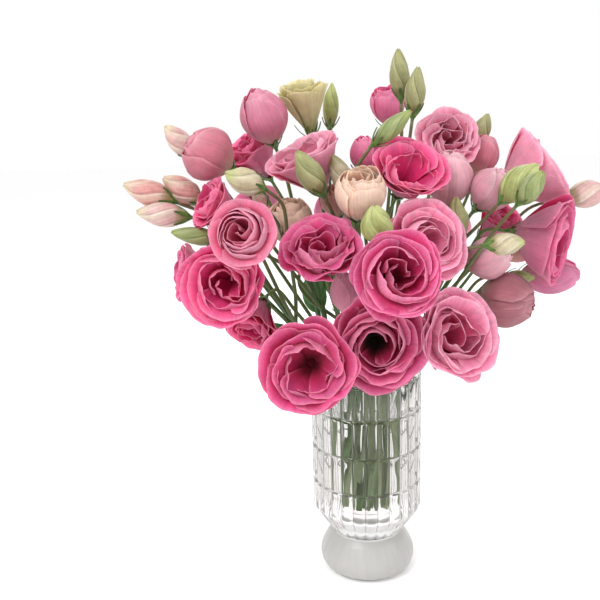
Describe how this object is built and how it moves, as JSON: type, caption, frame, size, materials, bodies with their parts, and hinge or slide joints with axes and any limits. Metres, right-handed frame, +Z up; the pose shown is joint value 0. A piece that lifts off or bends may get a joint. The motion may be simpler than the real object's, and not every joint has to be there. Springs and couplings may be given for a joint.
{
  "type": "vase of lisianthus flowers",
  "caption": "Loose round bunch of ruffled pink double lisianthus with pointed buds, thin green stems and leaves, in water in a fluted pressed-glass vase on a domed foot.",
  "frame": {"origin": "centre of the underside of the vase's foot, on the surface that it stands on", "axes": "+Z up along the vase's axis, -Y towards the bouquet's best side, +X to the right of someone who looks at that side"},
  "size_m": [0.3802, 0.266, 0.4204],
  "materials": {
    "glass": "clear pressed glass, polished",
    "water": "clear still water",
    "greenery": "satin, waxy green stalks, sepals, leaves and buds",
    "petals": "silky pink petals, deeper in the throat",
    "petals_pale": "silky pale pink petals with cream edges"
  },
  "bodies": {
    "root": {"vase": "glass", "water": "water", "stem_01": "greenery", "stem_02": "greenery", "stem_03": "greenery", "stem_04": "greenery", "stem_05": "greenery", "stem_06": "greenery", "stem_07": "greenery", "stem_08": "greenery", "stem_09": "greenery", "stem_10": "greenery", "stem_11": "greenery", "stem_12": "greenery", "stem_13": "greenery", "stem_14": "greenery", "stem_15": "greenery", "stem_16": "greenery", "stem_17": "greenery", "stem_18": "greenery", "stem_19": "greenery", "stem_20": "greenery", "bloom_01": "petals", "bloom_02": "petals", "bloom_03": "petals", "bloom_04": "petals_pale", "bloom_05": "petals", "bloom_06": "petals", "bloom_07": "petals", "bloom_08": "petals", "bloom_09": "petals", "bloom_10": "petals_pale", "bloom_11": "petals", "bloom_12": "petals", "bloom_13": "petals_pale", "bloom_14": "petals_pale", "bloom_15": "petals_pale", "bloom_16": "petals_pale", "bloom_17": "petals_pale", "bloom_18": "petals", "bloom_19": "petals", "bloom_20": "petals_pale", "bloom_21": "petals_pale", "bloom_22": "petals_pale", "bloom_23": "petals", "bloom_24": "petals_pale", "bloom_25": "petals_pale", "bloom_26": "petals_pale", "bloom_27": "petals_pale", "bloom_28": "petals_pale", "bloom_29": "petals", "bloom_30": "petals_pale", "bloom_31": "petals_pale", "bloom_33": "petals_pale", "bloom_34": "petals", "bloom_35": "petals_pale", "bloom_36": "petals_pale", "bloom_37": "petals", "bloom_38": "petals_pale", "bloom_39": "petals_pale"}
  },
  "joints": []
}
